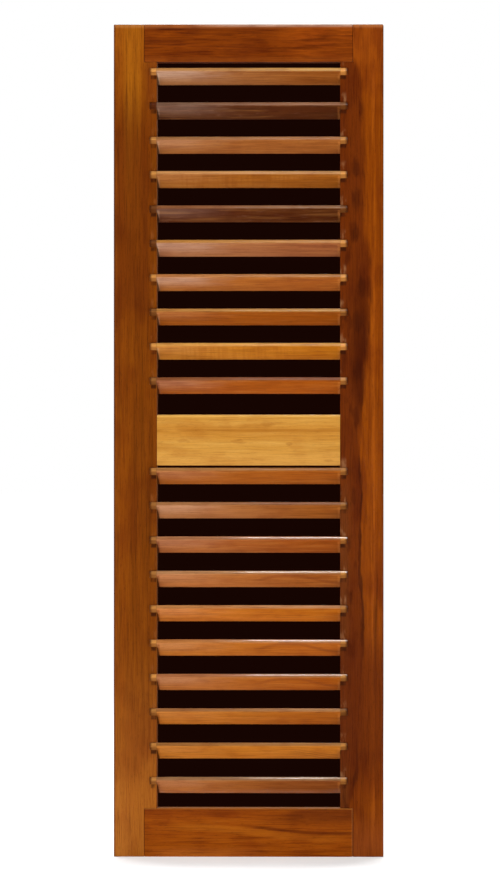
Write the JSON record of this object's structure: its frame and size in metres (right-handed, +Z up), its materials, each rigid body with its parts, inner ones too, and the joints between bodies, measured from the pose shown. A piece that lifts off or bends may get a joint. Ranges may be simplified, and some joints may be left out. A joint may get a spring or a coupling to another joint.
{
  "type": "louvred shutter",
  "caption": "Tall narrow timber shutter leaf with fixed sloping slats in two banks, parted by a pale middle rail, in a varnished frame of stiles and rails.",
  "frame": {"origin": "centre of the leaf's bottom edge, at mid thickness of the frame", "axes": "+Z up the leaf, +X across it to the right seen from the front, -Y towards the front, where the slats' high edges stand proud"},
  "size_m": [0.4, 0.0357, 1.235],
  "materials": {
    "stile": "glossy varnish over natural hardwood",
    "rail": "glossy varnish over natural hardwood",
    "mid_rail": "glossy varnish over natural hardwood",
    "slat_tan": "glossy varnish over natural hardwood",
    "slat_umber": "glossy varnish over natural hardwood",
    "slat_gold": "glossy varnish over natural hardwood",
    "slat_russet": "glossy varnish over natural hardwood"
  },
  "bodies": {
    "root": {"left_stile": "stile", "right_stile": "stile", "top_rail": "rail", "bottom_rail": "rail", "mid_rail": "mid_rail", "slat_01": "slat_tan", "slat_02": "slat_umber", "slat_03": "slat_tan", "slat_04": "slat_gold", "slat_05": "slat_umber", "slat_06": "slat_tan", "slat_07": "slat_russet", "slat_08": "slat_gold", "slat_09": "slat_gold", "slat_10": "slat_russet", "slat_11": "slat_russet", "slat_12": "slat_tan", "slat_13": "slat_russet", "slat_14": "slat_tan", "slat_15": "slat_russet", "slat_16": "slat_russet", "slat_17": "slat_russet", "slat_18": "slat_gold", "slat_19": "slat_gold", "slat_20": "slat_russet"}
  },
  "joints": []
}
